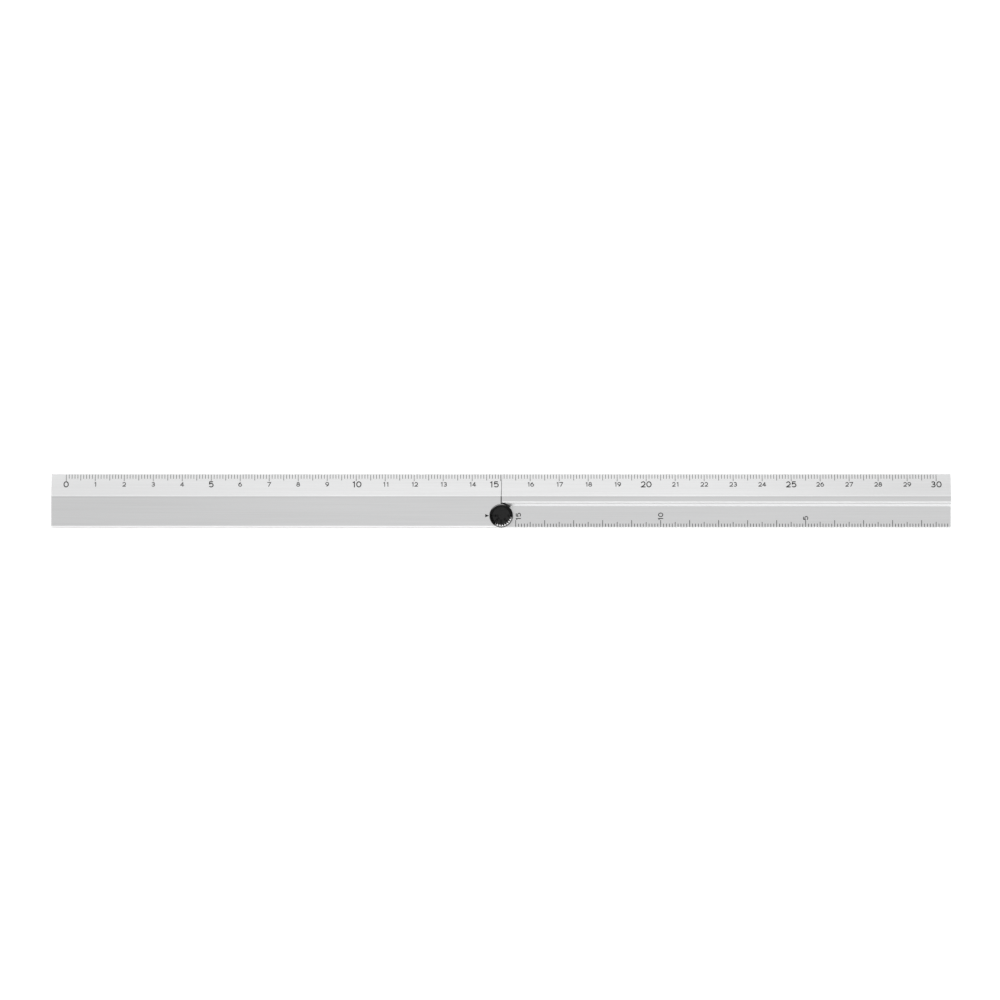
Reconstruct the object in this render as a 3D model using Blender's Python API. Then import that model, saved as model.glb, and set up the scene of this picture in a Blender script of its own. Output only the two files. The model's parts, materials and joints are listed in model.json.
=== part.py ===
"""Folding aluminium rule, 300 mm when open, with a friction hinge and an angle dial in the middle.

Two extruded halves meet end to end. Each one is a full-thickness bar with a thin blade beside it:
the left half's blade is at the top and the right half's blade is at the bottom, so the blades lap
around the pivot and slide over each other as the right half swings round under the left one.

X runs along the open rule, +Y is the bevelled scale edge and Z is up out of the printed face. The
origin is in the middle of the back, on the plane that the rule lies on. The pivot's axis is parallel
to Z. It crosses the middle of the length, beside the plain edge.
"""

import math

import bmesh
import bpy

MM = 0.001

# Outline of the open rule
LENGTH = 310.0 * MM
WIDTH = 18.3 * MM
THICKNESS = 4.6 * MM
HALF_LENGTH = LENGTH / 2
SCALE_EDGE_Y = WIDTH / 2
PLAIN_EDGE_Y = -WIDTH / 2

# Cross-section shared by both halves
BEVEL_WIDTH = 7.6 * MM
SCALE_EDGE_HEIGHT = 1.1 * MM
EDGE_ROUND = 0.12 * MM
HOLE_CHAMFER = 0.15 * MM

# The two levels that slide over each other
LOWER_BLADE_TOP = 2.1 * MM
UPPER_BLADE_BOTTOM = 2.4 * MM
SLIDE_CLEARANCE = 0.25 * MM

# Pivot, and the round ends of the blades about it
BLADE_RADIUS = 4.0 * MM
PIVOT_Y = PLAIN_EDGE_Y + BLADE_RADIUS
END_GAP = 0.2 * MM
END_LEAN = math.tan(math.radians(4.0))  # both sawn end faces lean alike, so the gap hides what's below
POCKET_RADIUS = 4.42 * MM

# Step on the right half, from the lower blade up to the face. It has a narrow ledge part of the way
# up and a shallow chamfer at the top. Distances are from the pivot's axis.
STEP_FOOT = 3.35 * MM
STEP_TOP = 4.52 * MM
STEP_CHAMFER = 0.36 * MM
STEP_CHAMFER_DROP = 0.14 * MM
LEDGE_INNER = 4.15 * MM
LEDGE_OUTER = 4.33 * MM
LEDGE_HEIGHT = 3.65 * MM

# Plain edge of the left half, whose underside follows the other half's step when folded
EDGE_CHAMFER = 0.45 * MM
EDGE_CHAMFER_DROP = 0.55 * MM
EDGE_LAND = 0.3 * MM
UNDERCUT = 0.8 * MM

# Hinge stack, from the back to the front
SEAT_DEPTH = 1.0 * MM
SEAT_RADIUS = 2.7 * MM
HEAD_RADIUS = 2.3 * MM
HEAD_BOTTOM = 0.1 * MM
HEAD_HEIGHT = 0.65 * MM
HEAD_ROUND = 0.15 * MM
CROSS_LENGTH = 2.3 * MM
CROSS_WIDTH = 0.42 * MM
CROSS_DEPTH = 0.38 * MM
SCREW_RADIUS = 1.0 * MM
SCREW_LENGTH = 3.1 * MM
SCREW_WASHER_RADIUS = 2.55 * MM
SCREW_WASHER_HEIGHT = 0.18 * MM

FIT = 0.03 * MM
TENON_RADIUS = 1.7 * MM
TENON_HALF_FLAT = 1.4 * MM
BARREL_RADIUS = 2.1 * MM
BUSH_RADIUS = 2.6 * MM
FLANGE_RADIUS = 3.15 * MM
FLANGE_FLAT = 2.7 * MM
FLANGE_HEIGHT = 0.5 * MM

FRICTION_WASHER_HEIGHT = 0.25 * MM
FRICTION_WASHER_RADIUS = 3.8 * MM
COUNTERBORE_FLOOR = 3.4 * MM
COUNTERBORE_RADIUS = 3.3 * MM
BUSH_FLANGE_RADIUS = 3.2 * MM
BUSH_FLANGE_HEIGHT = 0.3 * MM
WAVE_INNER_RADIUS = 2.25 * MM
WAVE_OUTER_RADIUS = 3.1 * MM
WAVE_STRIP = 0.12 * MM
WAVE_HEIGHT = 0.1 * MM
WAVE_COUNT = 3
THRUST_WASHER_HEIGHT = 0.2 * MM
STACK_GAP = 0.04 * MM

# Dial
DIAL_RADIUS = 4.0 * MM
DIAL_BOTTOM = THICKNESS + 0.06 * MM
DIAL_TOP = 5.5 * MM
DIAL_FACE_RADIUS = 2.95 * MM
DIAL_RIM_HEIGHT = 0.36 * MM

# Segments of a full turn
ROUND = 96
FINE_ROUND = 48

PAST = 1.0 * MM  # how far a cutter runs past the metal that it cuts


def clear_scene():
    for obj in list(bpy.data.objects):
        bpy.data.objects.remove(obj)


def make_material(name, colour, roughness, metallic):
    material = bpy.data.materials.new(name)
    material.use_nodes = True
    shader = material.node_tree.nodes["Principled BSDF"]
    shader.inputs["Base Color"].default_value = (*colour, 1.0)
    shader.inputs["Roughness"].default_value = roughness
    shader.inputs["Metallic"].default_value = metallic
    return material


def add_object(name, bm, material=None, smooth=False):
    bmesh.ops.recalc_face_normals(bm, faces=bm.faces)
    mesh = bpy.data.meshes.new(name)
    bm.to_mesh(mesh)
    bm.free()
    if smooth:
        mesh.shade_smooth()
        mesh.set_sharp_from_angle(angle=math.radians(30))
    obj = bpy.data.objects.new(name, mesh)
    bpy.context.scene.collection.objects.link(obj)
    if material:
        mesh.materials.append(material)
    return obj


def arc(centre, radius, start, end, steps):
    """Points along an arc, angles in degrees, both ends included."""
    cx, cy = centre
    turns = [math.radians(start + (end - start) * i / steps) for i in range(steps + 1)]
    return [(cx + radius * math.cos(t), cy + radius * math.sin(t)) for t in turns]


def extruded(name, points, offset, material=None):
    """A prism: the flat outline given by 3-D points, pushed along offset."""
    bm = bmesh.new()
    face = bm.faces.new([bm.verts.new(point) for point in points])
    pushed = bmesh.ops.extrude_face_region(bm, geom=[face])
    verts = [item for item in pushed["geom"] if isinstance(item, bmesh.types.BMVert)]
    bmesh.ops.translate(bm, verts=verts, vec=offset)
    return add_object(name, bm, material)


def turned(name, profile, steps, material=None, wave=None):
    """A solid of revolution about the pivot. profile is a closed outline of (radius, height) points.

    A point at radius 0 becomes one vertex on the axis. wave(angle) lifts every point at that angle.
    """
    bm = bmesh.new()
    rings = []
    for radius, height in profile:
        if radius == 0:
            rings.append([bm.verts.new((0, PIVOT_Y, height))] * steps)
            continue
        ring = []
        for i in range(steps):
            angle = math.tau * i / steps
            lift = wave(angle) if wave else 0
            x = radius * math.cos(angle)
            y = PIVOT_Y + radius * math.sin(angle)
            ring.append(bm.verts.new((x, y, height + lift)))
        rings.append(ring)
    for lower, upper in zip(rings, rings[1:] + rings[:1]):
        for i in range(steps):
            j = (i + 1) % steps
            corners = [lower[i], lower[j], upper[j], upper[i]]
            unique = list(dict.fromkeys(corners))
            if len(unique) > 2:
                bm.faces.new(unique)
    return add_object(name, bm, material, smooth=True)


def ring_profile(inner, outer, bottom, top):
    return [(inner, bottom), (outer, bottom), (outer, top), (inner, top)]


def disc(name, radius, bottom, top):
    return turned(name, [(0, bottom), (radius, bottom), (radius, top), (0, top)], ROUND)


def round_edges(obj):
    """Rounds the edges that have a bevel weight."""
    bevel = obj.modifiers.new("Rounded edges", "BEVEL")
    bevel.width = EDGE_ROUND
    bevel.segments = 2
    bevel.limit_method = "WEIGHT"


def cut(obj, cutter):
    """Takes the cutter's shape out of obj. The cutter stays in the scene as a hidden helper."""
    cutter.hide_render = True
    cutter.display_type = "WIRE"
    boolean = obj.modifiers.new(cutter.name, "BOOLEAN")
    boolean.operation = "DIFFERENCE"
    boolean.solver = "EXACT"
    boolean.object = cutter


def box(name, low, high):
    (x0, y0, z0), (x1, y1, z1) = low, high
    outline = [(x0, y0, z0), (x1, y0, z0), (x1, y1, z0), (x0, y1, z0)]
    return extruded(name, outline, (0, 0, z1 - z0))


def keyed_outline(radius, half_flat, steps=24):
    """A round outline about the pivot with two flats across Y."""
    open_angle = math.degrees(math.asin(half_flat / radius))
    right = arc((0, PIVOT_Y), radius, -open_angle, open_angle, steps)
    left = arc((0, PIVOT_Y), radius, 180 - open_angle, 180 + open_angle, steps)
    return right + left


# ---------------------------------------------------------------- the two halves


def scale_bar():
    """The part of the section that both halves share: the scale edge and its bevel."""
    return [
        (SCALE_EDGE_Y, 0.0, True),
        (SCALE_EDGE_Y, SCALE_EDGE_HEIGHT, True),
        (SCALE_EDGE_Y - BEVEL_WIDTH, THICKNESS, True),
    ]


def half_rule(name, blade_edge, bar, side, material):
    """One half: a bar with a straight end, and a thin blade beside it with a round end about the pivot.

    blade_edge is the blade's edge as (radius, z), from its upper face to its lower one. It runs along
    the plain edge and then round the end. bar is the rest of the section as (y, z, is_rounded), from
    the blade's lower face round to its upper one. side is +1 for the left half, whose blade ends
    towards +X. The blade's edges are rounded, and those of the sawn end faces are left sharp.
    """
    bm = bmesh.new()
    far = -side * HALF_LENGTH

    def end_face(z):
        return -side * END_GAP / 2 + END_LEAN * (THICKNESS - z)

    rows = []
    for radius, z in blade_edge:
        last_angle = math.degrees(math.acos(side * end_face(z) / radius))
        round_end = arc((0, PIVOT_Y), radius, -90, last_angle, ROUND // 2)
        path = [(far, PIVOT_Y - radius)] + [(side * x, y) for x, y in round_end]
        rows.append([bm.verts.new((x, y, z)) for x, y in path])
    far_bar = [bm.verts.new((far, y, z)) for y, z, _ in bar]
    near_bar = [bm.verts.new((end_face(z), y, z)) for y, z, _ in bar]
    for upper, lower in zip(rows, rows[1:]):
        for i in range(len(upper) - 1):
            bm.faces.new([upper[i], upper[i + 1], lower[i + 1], lower[i]])
    for i in range(len(bar) - 1):
        bm.faces.new([far_bar[i], near_bar[i], near_bar[i + 1], far_bar[i + 1]])
    bm.faces.new(rows[0] + [near_bar[-1], far_bar[-1]])
    bm.faces.new(rows[-1] + [near_bar[0], far_bar[0]])
    bm.faces.new([row[0] for row in rows] + far_bar)
    bm.faces.new([row[-1] for row in rows] + near_bar)
    weight = bm.edges.layers.float.new("bevel_weight_edge")
    for far_vert, near_vert, (_, _, is_rounded) in zip(far_bar, near_bar, bar):
        bm.edges.get((far_vert, near_vert))[weight] = 1 if is_rounded else 0
    for row in rows:
        for pair in zip(row, row[1:]):
            bm.edges.get(pair)[weight] = 1
    half = add_object(name, bm, material)
    round_edges(half)
    return half


def make_left_rule(material):
    """The blade is at the level of the face, and its edge is undercut to clear the other half's step."""
    land_top = THICKNESS - EDGE_CHAMFER_DROP
    blade_edge = [
        (BLADE_RADIUS - EDGE_CHAMFER, THICKNESS),
        (BLADE_RADIUS, land_top),
        (BLADE_RADIUS, land_top - EDGE_LAND),
        (BLADE_RADIUS - UNDERCUT, UPPER_BLADE_BOTTOM),
    ]
    bar_wall = PIVOT_Y + BLADE_RADIUS + SLIDE_CLEARANCE
    bar = [(bar_wall, UPPER_BLADE_BOTTOM, True), (bar_wall, 0.0, True)] + scale_bar()
    left = half_rule("left_rule", blade_edge, bar, 1, material)
    bore = BUSH_RADIUS + FIT
    mouth = COUNTERBORE_RADIUS + HOLE_CHAMFER + PAST
    profile = [
        (0, UPPER_BLADE_BOTTOM - PAST),
        (bore, UPPER_BLADE_BOTTOM - PAST),
        (bore, COUNTERBORE_FLOOR),
        (COUNTERBORE_RADIUS, COUNTERBORE_FLOOR),
        (COUNTERBORE_RADIUS, THICKNESS - HOLE_CHAMFER),
        (mouth, THICKNESS + PAST),
        (0, THICKNESS + PAST),
    ]
    cut(left, turned("tab_bore_cutter", profile, ROUND))
    return left


def make_right_rule(material):
    """The blade is on the back, and a sloping step leads down to it from the face."""
    blade_edge = [(BLADE_RADIUS, LOWER_BLADE_TOP), (BLADE_RADIUS, 0.0)]
    bar = scale_bar() + [
        (PIVOT_Y + STEP_TOP + STEP_CHAMFER, THICKNESS, False),
        (PIVOT_Y + STEP_TOP, THICKNESS - STEP_CHAMFER_DROP, False),
        (PIVOT_Y + LEDGE_OUTER, LEDGE_HEIGHT, False),
        (PIVOT_Y + LEDGE_INNER, LEDGE_HEIGHT, False),
        (PIVOT_Y + STEP_FOOT, LOWER_BLADE_TOP, True),
    ]
    right = half_rule("right_rule", blade_edge, bar, -1, material)
    cut(right, disc("pocket_cutter", POCKET_RADIUS, LOWER_BLADE_TOP, THICKNESS + PAST))
    mouth = SEAT_RADIUS + HOLE_CHAMFER + PAST
    profile = [
        (0, -PAST),
        (mouth, -PAST),
        (SEAT_RADIUS, HOLE_CHAMFER),
        (SEAT_RADIUS, SEAT_DEPTH),
        (0, SEAT_DEPTH),
    ]
    cut(right, turned("seat_cutter", profile, ROUND))
    outline = keyed_outline(TENON_RADIUS + FIT, TENON_HALF_FLAT + FIT)
    keyhole = [(x, y, -PAST) for x, y in outline]
    cut(right, extruded("keyhole_cutter", keyhole, (0, 0, THICKNESS + 2 * PAST)))
    return right


# ---------------------------------------------------------------- the hinge


def make_pivot_screw(material):
    """Cross-head screw, put in from the back and sunk just below it."""
    top = HEAD_BOTTOM + HEAD_HEIGHT
    tip = top + SCREW_LENGTH
    corner = (HEAD_RADIUS - HEAD_ROUND, HEAD_BOTTOM + HEAD_ROUND)
    profile = [
        (0, HEAD_BOTTOM),
        *arc(corner, HEAD_ROUND, -90, 0, 4),
        (HEAD_RADIUS, top),
        (SCREW_RADIUS, top),
        (SCREW_RADIUS, tip - HEAD_ROUND),
        (SCREW_RADIUS - HEAD_ROUND, tip),
        (0, tip),
    ]
    screw = turned("pivot_screw", profile, FINE_ROUND, material)
    depth = HEAD_BOTTOM + CROSS_DEPTH
    arms = [(CROSS_LENGTH / 2, CROSS_WIDTH / 2), (CROSS_WIDTH / 2, CROSS_LENGTH / 2)]
    for number, (half_x, half_y) in enumerate(arms, start=1):
        low = (-half_x, PIVOT_Y - half_y, -PAST)
        high = (half_x, PIVOT_Y + half_y, depth)
        cut(screw, box(f"cross_cutter_{number}", low, high))
    return screw


def make_screw_washer(material):
    bottom = HEAD_BOTTOM + HEAD_HEIGHT + FIT
    top = bottom + SCREW_WASHER_HEIGHT
    profile = ring_profile(SCREW_RADIUS + 2 * FIT, SCREW_WASHER_RADIUS, bottom, top)
    return turned("screw_washer", profile, FINE_ROUND, material)


def hub_levels():
    """Heights of the hub's tenon, shoulder, flange and top."""
    shoulder = LOWER_BLADE_TOP + FIT
    wave_room = WAVE_STRIP + 2 * WAVE_HEIGHT
    flange = thrust_washer_bottom() + THRUST_WASHER_HEIGHT + STACK_GAP
    assert flange > COUNTERBORE_FLOOR + BUSH_FLANGE_HEIGHT + wave_room
    return SEAT_DEPTH + FIT, shoulder, flange, flange + FLANGE_HEIGHT


def make_pivot_hub(material):
    """Flanged barrel that the left half turns on. Its tenon is keyed into the right half."""
    tenon, shoulder, flange, top = hub_levels()
    hole = SCREW_RADIUS + FIT
    hole_end = HEAD_BOTTOM + HEAD_HEIGHT + SCREW_LENGTH + STACK_GAP
    profile = [
        (0, hole_end),
        (hole, hole_end),
        (hole, tenon),
        (TENON_RADIUS, tenon),
        (TENON_RADIUS, shoulder),
        (BARREL_RADIUS, shoulder),
        (BARREL_RADIUS, flange),
        (FLANGE_RADIUS, flange),
        (FLANGE_RADIUS, top),
        (0, top),
    ]
    hub = turned("pivot_hub", profile, FINE_ROUND, material)
    flats = [(-2 * TENON_RADIUS, -TENON_HALF_FLAT), (TENON_HALF_FLAT, 2 * TENON_RADIUS)]
    for number, (near, far) in enumerate(flats, start=1):
        low = (-2 * TENON_RADIUS, PIVOT_Y + near, tenon - PAST)
        high = (2 * TENON_RADIUS, PIVOT_Y + far, shoulder)
        cut(hub, box(f"tenon_flat_cutter_{number}", low, high))
    low = (-2 * FLANGE_RADIUS, PIVOT_Y + FLANGE_FLAT, flange - PAST)
    high = (2 * FLANGE_RADIUS, PIVOT_Y + 2 * FLANGE_RADIUS, top + PAST)
    cut(hub, box("flange_flat_cutter", low, high))
    return hub


def make_friction_washer(material):
    middle = (LOWER_BLADE_TOP + UPPER_BLADE_BOTTOM) / 2
    bottom = middle - FRICTION_WASHER_HEIGHT / 2
    top = middle + FRICTION_WASHER_HEIGHT / 2
    profile = ring_profile(BARREL_RADIUS + 2 * FIT, FRICTION_WASHER_RADIUS, bottom, top)
    return turned("friction_washer", profile, FINE_ROUND, material)


def make_tab_bush(material):
    """Flanged plastic bush in the left half's blade."""
    inner = BARREL_RADIUS + FIT
    floor = COUNTERBORE_FLOOR + FIT
    profile = [
        (inner, UPPER_BLADE_BOTTOM + FIT),
        (BUSH_RADIUS, UPPER_BLADE_BOTTOM + FIT),
        (BUSH_RADIUS, floor),
        (BUSH_FLANGE_RADIUS, floor),
        (BUSH_FLANGE_RADIUS, floor + BUSH_FLANGE_HEIGHT),
        (inner, floor + BUSH_FLANGE_HEIGHT),
    ]
    return turned("tab_bush", profile, FINE_ROUND, material)


def wave_washer_bottom():
    return COUNTERBORE_FLOOR + FIT + BUSH_FLANGE_HEIGHT + STACK_GAP


def make_wave_washer(material):
    """Spring washer bent into waves round its ring. It presses the two blades together."""
    bottom = wave_washer_bottom() + WAVE_HEIGHT
    profile = ring_profile(WAVE_INNER_RADIUS, WAVE_OUTER_RADIUS, bottom, bottom + WAVE_STRIP)

    def wave(angle):
        return WAVE_HEIGHT * math.cos(WAVE_COUNT * angle)

    return turned("wave_washer", profile, FINE_ROUND, material, wave)


def thrust_washer_bottom():
    return wave_washer_bottom() + 2 * WAVE_HEIGHT + WAVE_STRIP + STACK_GAP


def make_thrust_washer(material):
    bottom = thrust_washer_bottom()
    top = bottom + THRUST_WASHER_HEIGHT
    profile = ring_profile(WAVE_INNER_RADIUS, WAVE_OUTER_RADIUS, bottom, top)
    return turned("thrust_washer", profile, FINE_ROUND, material)


def make_angle_dial(material):
    """Round cap over the hinge with a sloping rim for the angle marks. It is keyed to the hub."""
    rim_bottom = DIAL_TOP - DIAL_RIM_HEIGHT
    profile = [
        (0, DIAL_BOTTOM),
        (DIAL_RADIUS, DIAL_BOTTOM),
        (DIAL_RADIUS, rim_bottom),
        (DIAL_FACE_RADIUS, DIAL_TOP),
        (0, DIAL_TOP),
    ]
    dial = turned("angle_dial", profile, ROUND, material)
    _, _, _, hub_top = hub_levels()
    flat = math.degrees(math.asin((FLANGE_FLAT + FIT) / (FLANGE_RADIUS + FIT)))
    outline = arc((0, PIVOT_Y), FLANGE_RADIUS + FIT, 180 - flat, 360 + flat, ROUND)
    points = [(x, y, DIAL_BOTTOM - PAST) for x, y in outline]
    depth = hub_top + FIT - DIAL_BOTTOM + PAST
    cut(dial, extruded("dial_recess_cutter", points, (0, 0, depth)))
    return dial


def main():
    clear_scene()
    aluminium = make_material("anodised_aluminium", (0.78, 0.78, 0.79), 0.38, 1.0)
    black = make_material("dial_black", (0.018, 0.018, 0.02), 0.35, 0.0)
    steel = make_material("stainless_steel", (0.62, 0.62, 0.63), 0.3, 1.0)
    acetal = make_material("white_acetal", (0.85, 0.85, 0.83), 0.5, 0.0)
    make_left_rule(aluminium)
    make_right_rule(aluminium)
    make_angle_dial(black)
    make_pivot_hub(steel)
    make_pivot_screw(steel)
    make_screw_washer(steel)
    make_thrust_washer(steel)
    make_wave_washer(steel)
    make_tab_bush(acetal)
    make_friction_washer(acetal)


main()
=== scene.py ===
"""Looks of the folding aluminium rule: materials, printed scales, angle dial, light and camera.

In the row frame X runs along the open rule, +Y is the scale edge and Z is up out of the face.
Lengths here are in millimetres, and at(x, y, z) turns them into metres.
"""

import json
import math

import bmesh
import bpy
from mathutils import Matrix, Vector


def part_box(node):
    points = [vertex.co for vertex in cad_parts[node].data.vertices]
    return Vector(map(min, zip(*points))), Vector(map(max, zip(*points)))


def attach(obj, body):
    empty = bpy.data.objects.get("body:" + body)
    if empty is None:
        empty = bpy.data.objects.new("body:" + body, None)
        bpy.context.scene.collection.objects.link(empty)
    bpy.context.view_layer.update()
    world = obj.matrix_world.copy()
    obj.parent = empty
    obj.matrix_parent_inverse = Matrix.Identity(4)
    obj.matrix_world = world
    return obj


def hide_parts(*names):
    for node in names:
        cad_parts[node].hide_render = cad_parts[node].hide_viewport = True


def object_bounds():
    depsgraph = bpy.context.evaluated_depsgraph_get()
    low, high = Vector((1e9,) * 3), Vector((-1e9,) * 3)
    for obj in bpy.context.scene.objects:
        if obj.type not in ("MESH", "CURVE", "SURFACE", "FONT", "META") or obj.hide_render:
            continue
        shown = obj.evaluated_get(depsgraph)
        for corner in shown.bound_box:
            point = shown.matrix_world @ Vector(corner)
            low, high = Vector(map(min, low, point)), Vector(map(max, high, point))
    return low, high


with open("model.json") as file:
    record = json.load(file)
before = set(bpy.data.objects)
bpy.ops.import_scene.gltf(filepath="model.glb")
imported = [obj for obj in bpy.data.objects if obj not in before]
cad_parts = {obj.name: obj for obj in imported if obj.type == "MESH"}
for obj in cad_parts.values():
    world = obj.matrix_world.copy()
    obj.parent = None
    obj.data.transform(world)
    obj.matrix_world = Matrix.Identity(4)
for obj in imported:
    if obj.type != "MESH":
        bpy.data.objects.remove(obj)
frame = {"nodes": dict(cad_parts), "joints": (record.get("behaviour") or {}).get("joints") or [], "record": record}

CAD_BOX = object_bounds()
MM = 0.001

# ------------------------------------------------------------------ sizes, taken from the CAD

RIGHT_END = CAD_BOX[1].x / MM
SCALE_EDGE_Y = CAD_BOX[1].y / MM
PLAIN_EDGE_Y = CAD_BOX[0].y / MM
DIAL_TOP = CAD_BOX[1].z / MM
DIAL_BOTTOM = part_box("angle_dial")[0].z / MM
PIVOT_Y = frame["joints"][0]["pos_m"][1] / MM
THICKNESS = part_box("left_rule")[1].z / MM

# ------------------------------------------------------------------ sizes, repeated from the CAD

END_GAP = 0.2
BEVEL_WIDTH = 7.6
SCALE_EDGE_HEIGHT = 1.1
LOWER_BLADE_TOP = 2.1
RIDGE_Y = SCALE_EDGE_Y - BEVEL_WIDTH

# ------------------------------------------------------------------ tones of the aluminium, with painted shade and a painted highlight

# painted shade: the metal is drawn darker towards the left end, and on the bevel towards the right end
LEFT_END_SHADE = -0.06
LEFT_END_START = -40  # x where the painted shade towards the left end starts
RIGHT_END_SHADE = -0.1
RIGHT_END_START = 60
BEVEL_START = (1, 2)  # y between which the right end's painted shade comes in
RIDGE_BOTTOM = 4.2
RIDGE_PAINTED_BANDS = (  # painted highlight and painted darker line: centre from the ridge, half width, change
    (0.22, 0.23, 0.09),
    (-0.42, 0.2, -0.05),
)
DEEP_SHADE_LEVEL = 0.1  # painted shade in the pocket and in the gap: the metal's colour there is multiplied by this
POCKET_RADIUS = 4.5
POCKET_START_Y = PIVOT_Y + 2.9
POCKET_DARK_TOP = 4.0
GAP_DARK_HALF = 0.18
GAP_START_Y = PIVOT_Y + 3.9

# ------------------------------------------------------------------ marks

INK_UP = 0.014  # how far the print stands above the metal, and how far it is sunk into it
INK_DOWN = 0.012
EDGE_MARGIN = 0.11  # the marks start where the rounded edge ends

STROKE = 0.16  # stroke of a digit whose height is 1
BOLD = 0.22  # the same on the dial
DIGIT_WIDTHS = {"0": 0.86, "1": 0.42, "2": 0.76, "3": 0.77}
DIGIT_WIDTH = 0.82
SIDE_GAPS = {"1": 0.15}  # clear space on each side of a digit
SIDE_GAP = 0.07


def at(x, y, z):
    return Vector((x * MM, y * MM, z * MM))


def add_piece(name, bm, materials, body, smooth_angle=None):
    """Turns bm into a shown piece that rides on a CAD body."""
    bmesh.ops.recalc_face_normals(bm, faces=bm.faces)
    mesh = bpy.data.meshes.new(name)
    bm.to_mesh(mesh)
    bm.free()
    if smooth_angle:
        mesh.shade_smooth()
        mesh.set_sharp_from_angle(angle=math.radians(smooth_angle))
    for material in materials:
        mesh.materials.append(material)
    piece = bpy.data.objects.new(name, mesh)
    bpy.context.scene.collection.objects.link(piece)
    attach(piece, body)
    return piece


# ------------------------------------------------------------------ materials


class Nodes:
    """A short way to write a shader's node tree."""

    def __init__(self, tree):
        self.tree = tree

    def add(self, kind, inputs=None, **settings):
        node = self.tree.nodes.new(kind)
        for key, value in settings.items():
            setattr(node, key, value)
        for key, value in (inputs or {}).items():
            if isinstance(value, bpy.types.NodeSocket):
                self.tree.links.new(value, node.inputs[key])
            else:
                node.inputs[key].default_value = value
        return node

    def math(self, operation, *values):
        return self.add("ShaderNodeMath", dict(enumerate(values)), operation=operation).outputs[0]

    def vector_math(self, operation, *values, output="Vector"):
        node = self.add("ShaderNodeVectorMath", dict(enumerate(values)), operation=operation)
        return node.outputs[output]

    def place(self):
        """Where the shaded point is, in the piece's own space."""
        return self.add("ShaderNodeTexCoord").outputs["Object"]

    def split(self, vector):
        return self.add("ShaderNodeSeparateXYZ", {0: vector}).outputs

    def pivot_distance(self):
        """Distance from the pivot's axis."""
        offset = self.vector_math("SUBTRACT", self.place(), at(0, PIVOT_Y, 0))
        flat = self.vector_math("MULTIPLY", offset, (1, 1, 0))
        return self.vector_math("LENGTH", flat, output="Value")

    def noise(self, scale, detail=2.0, roughness=0.5):
        """Noise in the piece's own space. scale is in cells per metre along X, Y and Z."""
        scaled = self.vector_math("MULTIPLY", self.place(), scale)
        settings = {"Vector": scaled, "Scale": 1.0, "Detail": detail, "Roughness": roughness}
        return self.add("ShaderNodeTexNoise", settings).outputs["Fac"]

    def map_range(self, value, source, target, kind="LINEAR"):
        """value, which runs over source, made to run over target. It doesn't go past the ends."""
        settings = {"Value": value, "From Min": source[0], "From Max": source[1]}
        settings.update({"To Min": target[0], "To Max": target[1]})
        return self.add("ShaderNodeMapRange", settings, interpolation_type=kind).outputs[0]

    def smooth_range(self, value, source, target):
        return self.map_range(value, source, target, "SMOOTHSTEP")

    def spread(self, value, low, high):
        """Noise, which stays near 0.5, stretched to run from low to high."""
        return self.map_range(value, (0.3, 0.7), (low, high))

    def grey(self, value, colour):
        """colour times value."""
        factor = self.add("ShaderNodeCombineXYZ", {0: value, 1: value, 2: value}).outputs[0]
        return self.vector_math("MULTIPLY", colour, factor)

    def bump(self, height, distance, strength, normal=None):
        settings = {"Height": height, "Distance": distance, "Strength": strength}
        if normal:
            settings["Normal"] = normal
        return self.add("ShaderNodeBump", settings).outputs[0]


def new_material(name):
    material = bpy.data.materials.new(name)
    material.use_nodes = True
    nodes = Nodes(material.node_tree)
    return material, nodes, material.node_tree.nodes["Principled BSDF"]


def connect(nodes, shader, **links):
    for key, value in links.items():
        nodes.tree.links.new(value, shader.inputs[key.replace("_", " ")])


def end_tone(nodes):
    """Painted shade: the metal is drawn a little darker towards the left end, and on the bevel to the right."""
    parts = nodes.split(nodes.place())
    left = nodes.smooth_range(
        parts["X"], (-RIGHT_END * MM, LEFT_END_START * MM), (LEFT_END_SHADE, 0.0)
    )
    right = nodes.smooth_range(parts["X"], (RIGHT_END_START * MM, RIGHT_END * MM), (0.0, 1.0))
    bevel_start = (BEVEL_START[0] * MM, BEVEL_START[1] * MM)
    bevel = nodes.smooth_range(parts["Y"], bevel_start, (0.0, RIGHT_END_SHADE))
    return nodes.math("ADD", left, nodes.math("MULTIPLY", right, bevel))


def ridge_tone(nodes):
    """Painted highlight along the bevel's ridge, and a painted darker line on the flat just below it."""
    parts = nodes.split(nodes.place())
    tones = []
    for centre, half_width, amount in RIDGE_PAINTED_BANDS:
        band = nodes.math("COMPARE", parts["Y"], (RIDGE_Y + centre) * MM, half_width * MM)
        tones.append(nodes.math("MULTIPLY", band, amount))
    on_top = nodes.math("GREATER_THAN", parts["Z"], RIDGE_BOTTOM * MM)
    return nodes.math("MULTIPLY", nodes.math("ADD", *tones), on_top)


def deep_tone(nodes):
    """Painted shade: dark down in the pocket beside the dial and in the gap above it, and 1 elsewhere."""
    parts = nodes.split(nodes.place())

    def all_of(first, *others):
        for other in others:
            first = nodes.math("MULTIPLY", first, other)
        return first

    pocket = all_of(
        nodes.math("LESS_THAN", nodes.pivot_distance(), POCKET_RADIUS * MM),
        nodes.math("LESS_THAN", parts["Z"], POCKET_DARK_TOP * MM),
        nodes.math("GREATER_THAN", parts["Y"], POCKET_START_Y * MM),
    )
    gap = all_of(
        nodes.math("LESS_THAN", nodes.math("ABSOLUTE", parts["X"]), GAP_DARK_HALF * MM),
        nodes.math("GREATER_THAN", parts["Y"], GAP_START_Y * MM),
        nodes.math("LESS_THAN", parts["Y"], RIDGE_Y * MM),
    )
    deep = nodes.math("MAXIMUM", pocket, gap)
    return nodes.math("SUBTRACT", 1.0, nodes.math("MULTIPLY", deep, 1 - DEEP_SHADE_LEVEL))


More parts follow.
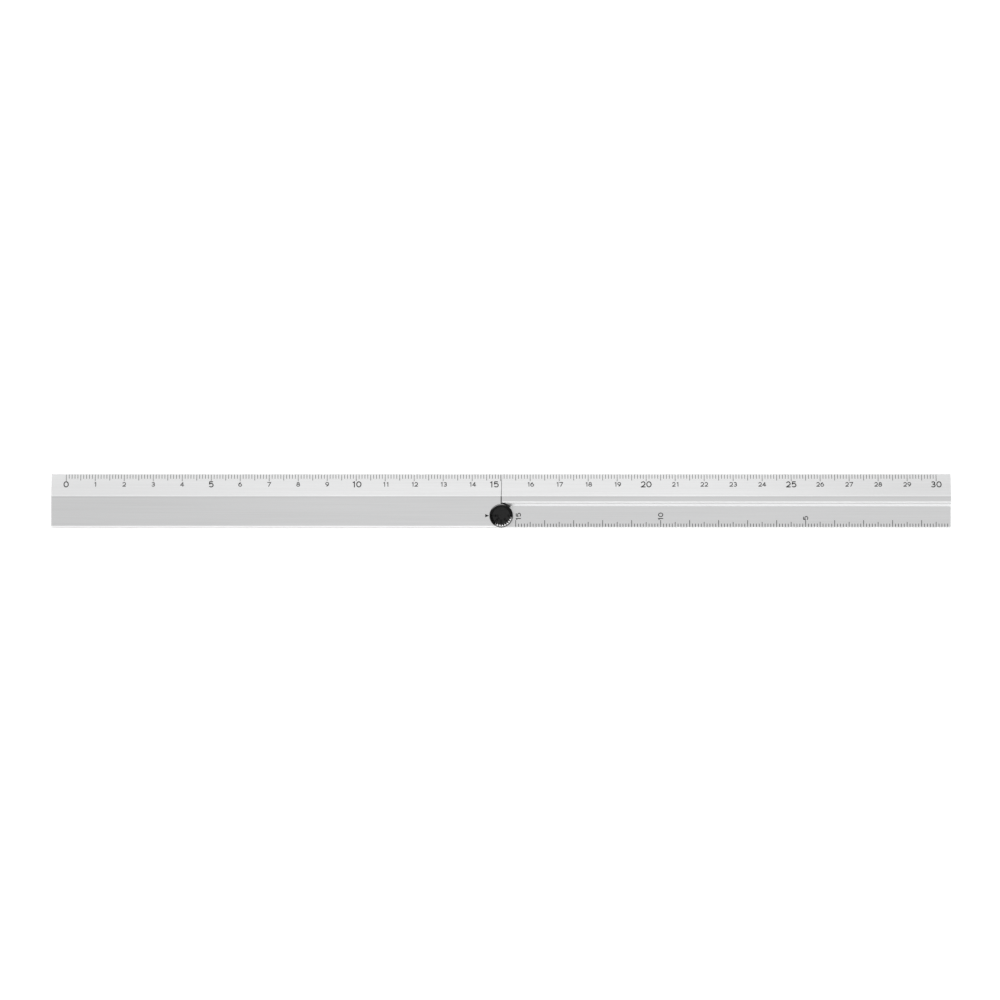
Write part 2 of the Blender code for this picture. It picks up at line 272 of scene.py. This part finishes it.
def make_aluminium():
    """Extruded aluminium, brushed along its length and clear anodised, with painted shade and a painted highlight
    in its colour.
    """
    material, nodes, shader = new_material("satin_aluminium")
    broad = nodes.noise((9, 420, 420), detail=3)
    streak = nodes.noise((22, 2600, 2600), detail=4, roughness=0.6)
    grain = nodes.noise((9000, 14000, 14000), detail=2)
    tone = nodes.math(
        "ADD", nodes.spread(broad, -0.015, 0.015), nodes.spread(streak, 0.965, 1.025)
    )
    tone = nodes.math("MULTIPLY", tone, nodes.spread(grain, 0.985, 1.01))
    # painted shade along the length
    tone = nodes.math("ADD", tone, end_tone(nodes))
    # painted highlight along the ridge, and a painted darker line just below it
    tone = nodes.math("ADD", tone, ridge_tone(nodes))
    # painted shade in the pocket beside the dial and in the gap above it
    tone = nodes.math("MULTIPLY", tone, deep_tone(nodes))
    roughness = nodes.math(
        "ADD", nodes.spread(streak, -0.015, 0.015), nodes.spread(broad, 0.295, 0.305)
    )
    shader.inputs["Metallic"].default_value = 1.0
    normal = nodes.bump(streak, 0.000003, 0.25)
    normal = nodes.bump(grain, 0.000003, 0.2, normal)
    colour = nodes.grey(tone, (0.785, 0.787, 0.79))
    connect(nodes, shader, Base_Color=colour, Roughness=roughness, Normal=normal)
    return material


def make_ink():
    """Black marks printed into the anodised layer."""
    material, nodes, shader = new_material("black_ink")
    speck = nodes.noise((6000, 6000, 6000), detail=3)
    colour = nodes.grey(nodes.spread(speck, 0.7, 1.3), (0.01, 0.01, 0.01))
    connect(nodes, shader, Base_Color=colour, Roughness=nodes.spread(speck, 0.42, 0.6))
    shader.inputs["Specular IOR Level"].default_value = 0.15
    return material


def turned_rings(nodes, scale):
    """Fine noise in rings round the pivot's axis, like the marks of a lathe tool."""
    turned = nodes.math("MULTIPLY", nodes.pivot_distance(), scale)
    settings = {"W": turned, "Scale": 1.0, "Detail": 2.0}
    return nodes.add("ShaderNodeTexNoise", settings, noise_dimensions="1D").outputs["Fac"]


def make_dial_face():
    """Black anodised, turned to a satin finish."""
    material, nodes, shader = new_material("dial_satin_black")
    rings = turned_rings(nodes, 9000)
    speck = nodes.noise((5000, 5000, 5000), detail=3)
    colour = nodes.grey(nodes.spread(speck, 0.7, 1.3), (0.002, 0.002, 0.002))
    shader.inputs["Specular IOR Level"].default_value = 0.048
    roughness = nodes.math("ADD", nodes.spread(rings, 0.3, 0.38), nodes.spread(speck, -0.02, 0.02))
    normal = nodes.bump(rings, 0.000004, 0.3)
    connect(nodes, shader, Base_Color=colour, Roughness=roughness, Normal=normal)
    return material


def make_dial_cone():
    """The sloping rim, cut with a polished tool."""
    material, nodes, shader = new_material("dial_gloss_black")
    rings = turned_rings(nodes, 16000)
    speck = nodes.noise((3000, 3000, 3000), detail=2)
    colour = nodes.grey(nodes.spread(speck, 0.8, 1.2), (0.0005, 0.0005, 0.0005))
    connect(nodes, shader, Base_Color=colour, Roughness=nodes.spread(rings, 0.11, 0.15))
    shader.inputs["IOR"].default_value = 1.22
    return material


def make_dial_mark():
    """Matt black at the bottom of the engraved marks."""
    material, nodes, shader = new_material("dial_matt_black")
    speck = nodes.noise((9000, 9000, 9000), detail=3)
    colour = nodes.grey(nodes.spread(speck, 0.7, 1.3), (0.0002, 0.0002, 0.0002))
    connect(nodes, shader, Base_Color=colour, Roughness=nodes.spread(speck, 0.6, 0.75))
    shader.inputs["Specular IOR Level"].default_value = 0.003
    return material


def make_steel():
    """Plain turned and stamped stainless steel."""
    material, nodes, shader = new_material("turned_steel")
    rings = turned_rings(nodes, 11000)
    speck = nodes.noise((2500, 2500, 2500), detail=3)
    tone = nodes.math("MULTIPLY", nodes.spread(rings, 0.95, 1.03), nodes.spread(speck, 0.96, 1.02))
    shader.inputs["Metallic"].default_value = 1.0
    connect(
        nodes,
        shader,
        Base_Color=nodes.grey(tone, (0.6, 0.59, 0.575)),
        Roughness=nodes.spread(rings, 0.24, 0.36),
        Normal=nodes.bump(rings, 0.000004, 0.3),
    )
    return material


def make_acetal():
    """Moulded white plastic. The real plastic is faintly translucent; this shader draws it opaque."""
    material, nodes, shader = new_material("moulded_acetal")
    speck = nodes.noise((2000, 2000, 2000), detail=3)
    colour = nodes.grey(nodes.spread(speck, 0.97, 1.02), (0.82, 0.815, 0.79))
    grain = nodes.noise((12000, 12000, 12000))
    connect(
        nodes,
        shader,
        Base_Color=colour,
        Roughness=nodes.spread(speck, 0.4, 0.5),
        Normal=nodes.bump(grain, 0.000004, 0.2),
    )
    return material


# ------------------------------------------------------------------ digits


def oval(centre, radii, start, end, steps):
    """Points round an oval from one angle to another, in degrees, both ends included."""
    points = []
    for i in range(steps + 1):
        turn = math.radians(start + (end - start) * i / steps)
        x = centre[0] + radii[0] * math.cos(turn)
        points.append((x, centre[1] + radii[1] * math.sin(turn)))
    return points


def loop(centre, radii, steps=40):
    return oval(centre, radii, 0, 360, steps)[:-1]


def digit_strokes(digit, stroke):
    """A digit's centrelines, as (points, closed), in a box as wide as the digit and 1 high."""
    w = DIGIT_WIDTHS.get(digit, DIGIT_WIDTH) - stroke
    h = 1 - stroke
    mid = w / 2
    if digit == "0":
        strokes = [(loop((mid, h / 2), (mid, h / 2), 48), True)]
    elif digit == "1":
        strokes = [([(0, h - 0.16), (w, h), (w, -stroke / 2)], False)]
    elif digit == "2":
        top = oval((mid, h - mid), (mid, mid), 165, -35, 24)
        foot = [(-stroke / 2, 0.0), (w + stroke / 2, 0.0)]
        strokes = [(top + [(0.03, 0.0)], False), (foot, False)]
    elif digit == "3":
        upper = oval((mid, h - 0.205), (0.255, 0.205), 155, -90, 24)
        lower = oval((mid, 0.2275), (mid, 0.2275), 90, -155, 26)
        upper.append((mid - 0.1, upper[-1][1]))
        lower.insert(0, (mid - 0.1, lower[0][1]))
        strokes = [(upper, False), (lower, False)]
    elif digit == "4":
        strokes = [
            ([(0.7 * w, h), (0.0, 0.24), (w + stroke / 2, 0.24)], False),
            ([(0.73 * w, h + stroke / 2), (0.73 * w, -stroke / 2)], False),
        ]
    elif digit == "5":
        strokes = [
            ([(0.94 * w, h), (0.15 * w, h), (0.06 * w, 0.4)], False),
            (oval((mid, 0.285), (mid, 0.285), 152, -152, 30), False),
        ]
    elif digit == "6":
        strokes = [
            (loop((mid, 0.272), (mid, 0.272)), True),
            (oval((0.6, 0.27), (0.6, h - 0.27), 181, 101, 20), False),
        ]
    elif digit == "7":
        strokes = [([(-stroke / 2, h), (w, h), (0.28 * w, -stroke / 2)], False)]
    elif digit == "8":
        strokes = [
            (loop((mid, h - 0.2), (0.24, 0.2)), True),
            (loop((mid, 0.2325), (mid, 0.2325)), True),
        ]
    else:
        strokes = []
        for points, closed in digit_strokes("6", stroke):
            strokes.append(([(w + stroke - x, 1 - y) for x, y in points], closed))
        return strokes
    half = stroke / 2
    return [([(x + half, y + half) for x, y in points], closed) for points, closed in strokes]


def ribbon(points, closed, stroke):
    """The two sides of a stroke: points to the left and to the right of its centreline."""
    left, right = [], []
    count = len(points)
    for i, point in enumerate(points):
        here = Vector(point)
        before = Vector(points[i - 1]) if closed or i else None
        after = Vector(points[(i + 1) % count]) if closed or i < count - 1 else None
        steps = [(here - before).normalized()] if before else []
        steps += [(after - here).normalized()] if after else []
        sides = [Vector((-step.y, step.x)) for step in steps]
        side = sum(sides, Vector((0, 0))).normalized()
        offset = side * (stroke / 2 / side.dot(sides[0]))
        left.append(here + offset)
        right.append(here - offset)
    return left, right


def stroke_prism(points, closed, stroke):
    """One stroke as a closed solid, from 0 to 1 in height."""
    left, right = ribbon(points, closed, stroke)
    bm = bmesh.new()
    rows = []
    for z in (0, 1):
        rows += [[bm.verts.new((*point, z)) for point in side] for side in (left, right)]
    count = len(points)
    for i in range(count if closed else count - 1):
        j = (i + 1) % count
        for a, b in ((0, 1), (1, 3), (3, 2), (2, 0)):
            bm.faces.new([rows[a][i], rows[a][j], rows[b][j], rows[b][i]])
    if not closed:
        for i in (0, -1):
            bm.faces.new([rows[0][i], rows[1][i], rows[3][i], rows[2][i]])
    bmesh.ops.recalc_face_normals(bm, faces=bm.faces)
    return bm


def helper_object(bm):
    mesh = bpy.data.meshes.new("helper")
    bm.to_mesh(mesh)
    bm.free()
    helper = bpy.data.objects.new("helper", mesh)
    bpy.context.scene.collection.objects.link(helper)
    return helper


def combined(base, others, operation):
    """The Boolean of a helper object with others, as a mesh. All the helpers are removed."""
    for other in others:
        modifier = base.modifiers.new("boolean", "BOOLEAN")
        modifier.operation, modifier.solver, modifier.object = operation, "EXACT", other
    bpy.context.view_layer.update()
    evaluated = base.evaluated_get(bpy.context.evaluated_depsgraph_get())
    mesh = bpy.data.meshes.new_from_object(evaluated)
    for helper in [base, *others]:
        bpy.data.objects.remove(helper)
    return mesh


def make_digit(digit, stroke):
    """A digit as vertices and faces. Heights are 0 at its back and 1 at its face."""
    lines = digit_strokes(digit, stroke)
    prisms = [helper_object(stroke_prism(points, closed, stroke)) for points, closed in lines]
    mesh = combined(prisms[0], prisms[1:], "UNION")
    bm = bmesh.new()
    bm.from_mesh(mesh)
    bmesh.ops.remove_doubles(bm, verts=bm.verts, dist=1e-4)
    bmesh.ops.dissolve_limit(bm, angle_limit=0.01, verts=bm.verts, edges=bm.edges)
    bmesh.ops.triangulate(bm, faces=bm.faces)
    bm.verts.index_update()
    verts = [vert.co.copy() for vert in bm.verts]
    faces = [[vert.index for vert in face.verts] for face in bm.faces]
    bm.free()
    return verts, faces


DIGITS = {}
for digit_stroke in (STROKE, BOLD):
    DIGITS[digit_stroke] = {digit: make_digit(digit, digit_stroke) for digit in "0123456789"}


def digit_width(digit):
    return DIGIT_WIDTHS.get(digit, DIGIT_WIDTH)


def side_gap(digit):
    return SIDE_GAPS.get(digit, SIDE_GAP)


def text_width(text):
    gaps = sum(side_gap(before) + side_gap(after) for before, after in zip(text, text[1:]))
    return sum(digit_width(digit) for digit in text) + gaps


def add_text(bm, text, size, place, stroke=STROKE):
    """Adds a number, size high. place(u, v, w) is the point u along the line, v up it and w out
    of it, with (0, 0) in the middle of the number."""
    start = -text_width(text) / 2 - side_gap(text[0])
    for digit in text:
        start += side_gap(digit)
        verts, faces = DIGITS[stroke][digit]
        made = []
        for vert in verts:
            lift = INK_UP if vert.z > 0.5 else -INK_DOWN
            made.append(bm.verts.new(place((start + vert.x) * size, (vert.y - 0.5) * size, lift)))
        for face in faces:
            bm.faces.new([made[i] for i in face])
        start += digit_width(digit) + side_gap(digit)


def add_bar(bm, corners, place):
    """Adds a thin solid over an outline given as (u, v) points."""
    low = [bm.verts.new(place(u, v, -INK_DOWN)) for u, v in corners]
    high = [bm.verts.new(place(u, v, INK_UP)) for u, v in corners]
    bm.faces.new(low[::-1])
    bm.faces.new(high)
    for i in range(len(corners)):
        j = (i + 1) % len(corners)
        bm.faces.new([low[i], low[j], high[j], high[i]])


# ------------------------------------------------------------------ the printed scales

BEVEL_RISE = THICKNESS - SCALE_EDGE_HEIGHT
BEVEL_NORMAL = Vector((0, BEVEL_RISE, BEVEL_WIDTH)).normalized()


def on_bevel(x, depth, lift):
    """A point on the bevel, depth in from the scale edge seen from above, lifted off it."""
    y = SCALE_EDGE_Y - depth
    z = SCALE_EDGE_HEIGHT + BEVEL_RISE * depth / BEVEL_WIDTH
    return at(x, y + BEVEL_NORMAL.y * lift, z + BEVEL_NORMAL.z * lift)


def tick_length(millimetre, lengths):
    """lengths is for every 1, 5 and 10 millimetres."""
    if millimetre % 10 == 0:
        return lengths[2]
    return lengths[1] if millimetre % 5 == 0 else lengths[0]


UPPER_TICKS = (1.55, 2.15, 2.4)
UPPER_TICK_WIDTH = 0.17
UPPER_ZERO_X = -150
BIG_NUMBER = 2.1
SMALL_NUMBER = 1.55
NUMBER_DEPTH = 3.5
ONE_SHIFT = 0.12  # how far right 10 to 19 stand, for a height of 1: a 1 is narrow for its space
MIDDLE_NUMBER_END = -0.86  # right side of the 15, which stands wholly on the left half


def make_upper_scale(body, millimetres, ink):
    """Marks and numbers from 0 to 30 cm along the bevel. Each half carries its own part."""
    half = body.split("_")[0]
    marks = bmesh.new()
    for millimetre in millimetres:
        x = UPPER_ZERO_X + millimetre
        if millimetre == 150:  # the mark that falls on the gap is printed beside it
            x -= END_GAP / 2 + UPPER_TICK_WIDTH / 2
        length = tick_length(millimetre, UPPER_TICKS)
        left, right = x - UPPER_TICK_WIDTH / 2, x + UPPER_TICK_WIDTH / 2
        corners = [(left, EDGE_MARGIN), (left, length), (right, length), (right, EDGE_MARGIN)]
        add_bar(marks, corners, on_bevel)
    add_piece(f"upper_marks_{half}", marks, [ink], body)
    numbers = bmesh.new()
    for millimetre in millimetres:
        if millimetre % 10:
            continue
        text = str(millimetre // 10)
        size = BIG_NUMBER if millimetre % 50 == 0 else SMALL_NUMBER
        middle = UPPER_ZERO_X + millimetre
        if 100 <= millimetre < 200:
            middle += ONE_SHIFT * size
        if millimetre == 150:
            middle = MIDDLE_NUMBER_END - text_width(text) * size / 2
        add_text(numbers, text, size, lambda u, v, w: on_bevel(middle + u, NUMBER_DEPTH - v, w))
    add_piece(f"upper_numbers_{half}", numbers, [ink], body)


LOWER_TICKS = (1.25, 1.85, 2.45)
LOWER_TICK_WIDTH = 0.21
LOWER_LAST = 150
LOWER_NUMBER = 1.75
LOWER_NUMBER_GAP = -0.02  # from a number to its mark
LAST_NUMBER_SHIFT = 0.93  # the 15 stands beside its mark
POINTER_TIP = -4.2
POINTER_BACK = -5.5
POINTER_HALF_HEIGHT = 0.56


def make_lower_scale(ink):
    """The second scale, on the right half's blade. It counts from that half's outer end."""

    def on_blade(x, height, lift):
        return at(x, PLAIN_EDGE_Y + height, LOWER_BLADE_TOP + lift)

    marks = bmesh.new()
    for millimetre in range(1, LOWER_LAST + 1):
        x = RIGHT_END - millimetre
        length = tick_length(millimetre, LOWER_TICKS)
        left, right = x - LOWER_TICK_WIDTH / 2, x + LOWER_TICK_WIDTH / 2
        corners = [(left, EDGE_MARGIN), (right, EDGE_MARGIN), (right, length), (left, length)]
        add_bar(marks, corners, on_blade)
    add_piece("lower_marks_right", marks, [ink], "right_half")
    numbers = bmesh.new()
    for centimetre in (5, 10, 15):
        text = str(centimetre)
        middle = RIGHT_END - 10 * centimetre + (LAST_NUMBER_SHIFT if centimetre == 15 else 0)
        start = LOWER_TICKS[2] + LOWER_NUMBER_GAP + text_width(text) * LOWER_NUMBER / 2
        add_text(numbers, text, LOWER_NUMBER, lambda u, v, w: on_blade(middle - v, start + u, w))
    add_piece("lower_numbers_right", numbers, [ink], "right_half")


def make_pointer(ink):
    """The triangle on the left half that reads the dial."""
    bm = bmesh.new()
    low, high = PIVOT_Y - POINTER_HALF_HEIGHT, PIVOT_Y + POINTER_HALF_HEIGHT
    corners = [(POINTER_BACK, low), (POINTER_TIP, PIVOT_Y), (POINTER_BACK, high)]
    add_bar(bm, corners, lambda x, y, lift: at(x, y, THICKNESS + lift))
    add_piece("dial_pointer", bm, [ink], "left_half")


# ------------------------------------------------------------------ the dial

DIAL_RADIUS = 4.05  # a little more than the CAD's 4.0
DIAL_WALL_TOP = 4.98
FACE_RADIUS = 2.91
CONE_TOP_RADIUS = 2.95
CONE_SLOPE = 0.36 / 1.05
CONE_END_RADIUS = 3.62
RECESS_RADIUS = 3.2
RECESS_TOP = 4.9
DIAL_SEGMENTS = 192
MARK_WIDTH = 0.45
MARK_DEPTH = 0.07
MARK_RADII = (2.98, 3.6)
MARK_STEP = 15
MARK_LOWEST = 5.05  # every mark's bottom is above this, and the recess is below it
DIAL_NUMBER = 0.76
DIAL_NUMBER_END = 2.78


def cone_height(radius):
    return DIAL_TOP - CONE_SLOPE * (radius - CONE_TOP_RADIUS)


def dial_profile():
    """The dial's outline as (radius, z): face, polished cone, rounded edge and recess."""
    points = [(radius, DIAL_TOP) for radius in (0, 1.0, 2.0, FACE_RADIUS)]
    points.append((CONE_TOP_RADIUS, DIAL_TOP - 0.008))
    points += [(radius, cone_height(radius)) for radius in (3.0, 3.35, CONE_END_RADIUS)]
    start, end = Vector(points[-1]), Vector((DIAL_RADIUS, DIAL_WALL_TOP))
    corner = Vector((DIAL_RADIUS, cone_height(DIAL_RADIUS)))
    for i in range(1, 7):
        t = i / 6
        points.append(tuple(start * (1 - t) ** 2 + corner * 2 * t * (1 - t) + end * t**2))
    points += [(DIAL_RADIUS, DIAL_BOTTOM + 0.06), (DIAL_RADIUS - 0.06, DIAL_BOTTOM)]
    points += [(RECESS_RADIUS, DIAL_BOTTOM), (RECESS_RADIUS, RECESS_TOP), (0, RECESS_TOP)]
    return points


def make_dial_body():
    bm = bmesh.new()
    rings = []
    turns = [math.tau * i / DIAL_SEGMENTS for i in range(DIAL_SEGMENTS)]
    for radius, z in dial_profile():
        if radius == 0:
            rings.append([bm.verts.new((0, 0, z))] * DIAL_SEGMENTS)
            continue
        places = [(radius * math.cos(turn), radius * math.sin(turn), z) for turn in turns]
        rings.append([bm.verts.new(place) for place in places])
    for upper, lower in zip(rings, rings[1:]):
        for i in range(DIAL_SEGMENTS):
            j = (i + 1) % DIAL_SEGMENTS
            corners = dict.fromkeys([upper[i], upper[j], lower[j], lower[i]])
            bm.faces.new(list(corners))
    bmesh.ops.recalc_face_normals(bm, faces=bm.faces)
    return bm


def make_dial_cutter():
    """One slot for each mark, with its floor parallel to the cone."""
    bm = bmesh.new()
    inner, outer = MARK_RADII
    for angle in range(0, 181, MARK_STEP):
        turn = Matrix.Rotation(math.radians(-angle), 3, "Z")
        half = MARK_WIDTH / 2
        corners = [(inner, -half), (outer, -half), (outer, half), (inner, half)]
        floor = [Vector((x, y, cone_height(x) - MARK_DEPTH)) for x, y in corners]
        low = [bm.verts.new(turn @ corner) for corner in floor]
        high = [bm.verts.new(turn @ Vector((x, y, DIAL_TOP + 1))) for x, y in corners]
        bm.faces.new(low[::-1])
        bm.faces.new(high)
        for i in range(4):
            j = (i + 1) % 4
            bm.faces.new([low[i], low[j], high[j], high[i]])
    bmesh.ops.recalc_face_normals(bm, faces=bm.faces)
    return bm


def make_dial(face, cone, mark):
    """The black cap over the hinge, with the angle marks cut into its cone."""
    base, cutter = helper_object(make_dial_body()), helper_object(make_dial_cutter())
    mesh = combined(base, [cutter], "DIFFERENCE")
    bm = bmesh.new()
    bm.from_mesh(mesh)
    bmesh.ops.remove_doubles(bm, verts=bm.verts, dist=1e-4)
    for polygon in bm.faces:
        centre = polygon.calc_center_median()
        radius = math.hypot(centre.x, centre.y)
        polished = radius > CONE_TOP_RADIUS and polygon.normal.z > 0.1
        in_marks = MARK_RADII[0] - 0.01 < radius < MARK_RADII[1] + 0.01
        sunk = in_marks and MARK_LOWEST < centre.z < cone_height(radius) - 0.02
        polygon.material_index = 2 if sunk else 1 if polished else 0
    bmesh.ops.triangulate(bm, faces=[f for f in bm.faces if len(f.verts) > 4])
    bmesh.ops.transform(bm, matrix=Matrix.Translation((0, PIVOT_Y, 0)), verts=bm.verts)
    bmesh.ops.transform(bm, matrix=Matrix.Scale(MM, 4), verts=bm.verts)
    dial = add_piece("engraved_dial", bm, [face, cone, mark], "right_half", 30)
    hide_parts("angle_dial")
    return dial


def make_dial_numbers(mark):
    """The angles along the dial's radii. Each reads from the rim inwards."""
    bm = bmesh.new()
    for angle in (0, 45, 90, 135, 180):
        text = str(angle)
        turn = Matrix.Rotation(math.radians(-angle), 3, "Z")
        middle = DIAL_NUMBER_END - text_width(text) * DIAL_NUMBER / 2

        def place(u, v, w):
            point = turn @ Vector((middle - u, -v, 0))
            return at(point.x, PIVOT_Y + point.y, DIAL_TOP + w)

        add_text(bm, text, DIAL_NUMBER, place, BOLD)
    return add_piece("dial_numbers", bm, [mark], "right_half")


# ------------------------------------------------------------------ floor, light, camera (metres)

CAMERA_LENS = 300
CAMERA_DISTANCE = 2.8714
CAMERA_X = -0.41
CAMERA_Y = 0.26

LIGHT_DISTANCE = 1.4
KEY_POLAR = 38
KEY_AZIMUTHS = (-30, -67, -104)
KEY_SIZE = (0.58, 0.21)
KEY_RADIANCE = 100.0
FILL_POLAR = 70  # a soft box low behind, seen in the dial's rounded edge
FILL_AZIMUTH = 108
FILL_SIZE = (1.7, 1.4)
FILL_RADIANCE = 26.0

OVERHEAD = 0.802  # radiance of the room straight above
WALLS = 1.2
BACK_WALL_GAIN = 0.1  # how much brighter the wall behind is, and the one in front dimmer
SIDE_DIM = 0.6  # how much dimmer the walls off the rule's two ends are
FRONT_GLOW = 0.7  # a soft window in front, seen in the step's slope
FRONT_GLOW_POLAR = 59
FRONT_GLOW_EDGE = (0.82, 0.98)
FRONT_GLOW_SIDES = (0.01, 0.08)  # squares of how far to each side it starts to fade, and ends
WALL_RAMP = (0.75, 0.5)  # cosines from the vertical between which the one turns into the other
FLOOR_HALF = 15.0
FLOOR_Z = -0.00005
FLOOR_TONE = 0.35
FLOOR_SUN = 7.6
FLOOR_SUN_ANGLE = 13


def make_floor():
    """A plain pale floor, and a light straight above that falls on the floor alone."""
    bm = bmesh.new()
    signs = ((-1, -1), (1, -1), (1, 1), (-1, 1))
    corners = [(x * FLOOR_HALF, y * FLOOR_HALF, FLOOR_Z) for x, y in signs]
    bm.faces.new([bm.verts.new(corner) for corner in corners])
    mesh = bpy.data.meshes.new("floor")
    bm.to_mesh(mesh)
    bm.free()
    floor = bpy.data.objects.new("floor", mesh)
    bpy.context.scene.collection.objects.link(floor)
    material, _, shader = new_material("pale_floor")
    shader.inputs["Base Color"].default_value = (FLOOR_TONE, FLOOR_TONE, FLOOR_TONE, 1)
    shader.inputs["Roughness"].default_value = 0.9
    shader.inputs["Specular IOR Level"].default_value = 0.0
    mesh.materials.append(material)
    lamp = bpy.data.lights.new("floor_light", "SUN")
    lamp.energy = FLOOR_SUN
    lamp.angle = math.radians(FLOOR_SUN_ANGLE)
    light = bpy.data.objects.new("floor_light", lamp)
    bpy.context.scene.collection.objects.link(light)
    receivers = bpy.data.collections.new("floor_only")
    receivers.objects.link(floor)
    light.light_linking.receiver_collection = receivers


def towards(polar, azimuth):
    """The direction polar degrees down from the vertical and azimuth degrees round from +X."""
    turn, tilt = math.radians(azimuth), math.radians(polar)
    along = math.sin(tilt)
    return Vector((along * math.cos(turn), along * math.sin(turn), math.cos(tilt)))


def make_world():
    """A soft white room, dim overhead and brighter towards the walls."""
    world = bpy.data.worlds.new("studio")
    bpy.context.scene.world = world
    world.use_nodes = True
    nodes = Nodes(world.node_tree)
    direction = nodes.add("ShaderNodeTexCoord").outputs["Generated"]
    parts = nodes.split(direction)
    light = nodes.smooth_range(parts["Z"], WALL_RAMP, (OVERHEAD, WALLS))
    gain = nodes.math("ADD", nodes.math("MULTIPLY", parts["Y"], BACK_WALL_GAIN), 1.0)
    light = nodes.math("MULTIPLY", light, gain)
    squared = nodes.math("MULTIPLY", parts["X"], parts["X"])
    dimming = nodes.math("SUBTRACT", 1.0, nodes.math("MULTIPLY", squared, SIDE_DIM))
    light = nodes.math("MULTIPLY", light, dimming)
    facing = nodes.vector_math(
        "DOT_PRODUCT", direction, towards(FRONT_GLOW_POLAR, -90), output="Value"
    )
    glow = nodes.smooth_range(facing, FRONT_GLOW_EDGE, (0.0, FRONT_GLOW))
    sides = nodes.smooth_range(squared, FRONT_GLOW_SIDES, (1.0, 0.0))
    light = nodes.math("ADD", light, nodes.math("MULTIPLY", glow, sides))
    background = world.node_tree.nodes["Background"]
    background.inputs["Color"].default_value = (1, 1, 1, 1)
    world.node_tree.links.new(light, background.inputs["Strength"])


def make_area_light(name, direction, size, radiance, receivers):
    """A soft box that faces the object. Its power gives it this radiance."""
    lamp = bpy.data.lights.new(name, "AREA")
    lamp.shape = "RECTANGLE"
    lamp.size, lamp.size_y = size
    lamp.energy = radiance * math.pi * size[0] * size[1]
    light = bpy.data.objects.new(name, lamp)
    light.location = direction * LIGHT_DISTANCE
    light.rotation_mode = "QUATERNION"
    light.rotation_quaternion = direction.to_track_quat("Z", "Y")
    bpy.context.scene.collection.objects.link(light)
    light.light_linking.receiver_collection = receivers


def make_dial_lights(lit):
    """Three soft boxes in an arc in front and one low behind. They light these pieces alone."""
    receivers = bpy.data.collections.new("dial_lit")
    for piece in lit:
        receivers.objects.link(piece)
    for number, azimuth in enumerate(KEY_AZIMUTHS, start=1):
        direction = towards(KEY_POLAR, azimuth)
        make_area_light(f"key_{number}", direction, KEY_SIZE, KEY_RADIANCE, receivers)
    direction = towards(FILL_POLAR, FILL_AZIMUTH)
    make_area_light("fill", direction, FILL_SIZE, FILL_RADIANCE, receivers)


def make_camera():
    """Straight above the face, with the scale edge at the top of the picture."""
    data = bpy.data.cameras.new("camera")
    data.lens = CAMERA_LENS
    data.sensor_width = 36
    data.clip_start = 0.1
    camera = bpy.data.objects.new("camera", data)
    camera.location = at(CAMERA_X, CAMERA_Y, THICKNESS) + Vector((0, 0, CAMERA_DISTANCE))
    bpy.context.scene.collection.objects.link(camera)
    bpy.context.scene.camera = camera


def main():
    by_slot = {
        "anodised_aluminium": make_aluminium(),
        "stainless_steel": make_steel(),
        "white_acetal": make_acetal(),
    }
    face, cone, mark = make_dial_face(), make_dial_cone(), make_dial_mark()
    by_slot["dial_black"] = face
    for subpart in frame["record"]["subparts"]:
        node = frame["nodes"][subpart["node"]]
        for material_slot in node.material_slots:
            material_slot.material = by_slot[subpart["material_slot"]]
    ink = make_ink()
    make_upper_scale("left_half", range(0, 151), ink)
    make_upper_scale("right_half", range(151, 301), ink)
    make_lower_scale(ink)
    make_pointer(ink)
    dial_pieces = [make_dial(face, cone, mark), make_dial_numbers(mark)]
    make_floor()
    make_world()
    make_dial_lights(dial_pieces)
    make_camera()
    bpy.context.scene.view_settings.view_transform = "Standard"


main()
